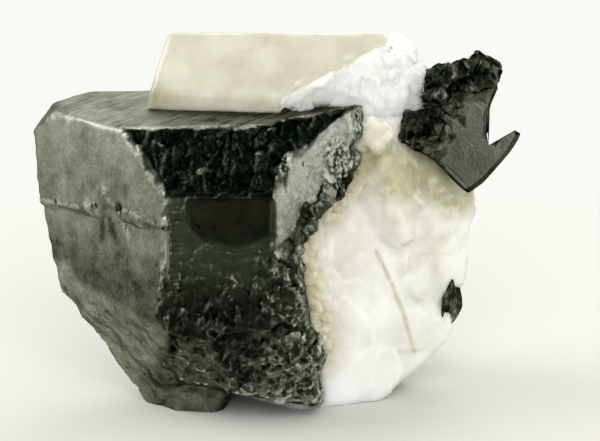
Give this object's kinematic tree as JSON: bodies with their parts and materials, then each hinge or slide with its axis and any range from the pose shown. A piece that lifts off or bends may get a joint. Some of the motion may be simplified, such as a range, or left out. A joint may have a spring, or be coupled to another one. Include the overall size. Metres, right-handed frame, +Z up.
{
  "type": "acanthite and calcite specimen",
  "caption": "Natural display specimen: a blocky dark-grey metallic acanthite crystal under a cream calcite tablet, grown on white cleaved calcite beside a smaller spiked crystal.",
  "frame": {"origin": "bottom centre of the whole specimen's bounding box, on the surface it rests on", "axes": "+X to the right along its width as seen from its best side, +Y away from that side, +Z up"},
  "size_m": [0.028, 0.0156, 0.0214],
  "materials": {
    "acanthite": "satin",
    "cream_calcite": "gloss",
    "white_calcite": "satin"
  },
  "bodies": {
    "root": {"acanthite_crystal": "acanthite", "acanthite_blade": "acanthite", "acanthite_chip": "acanthite", "calcite_tablet": "cream_calcite", "calcite_matrix": "white_calcite"}
  },
  "joints": []
}
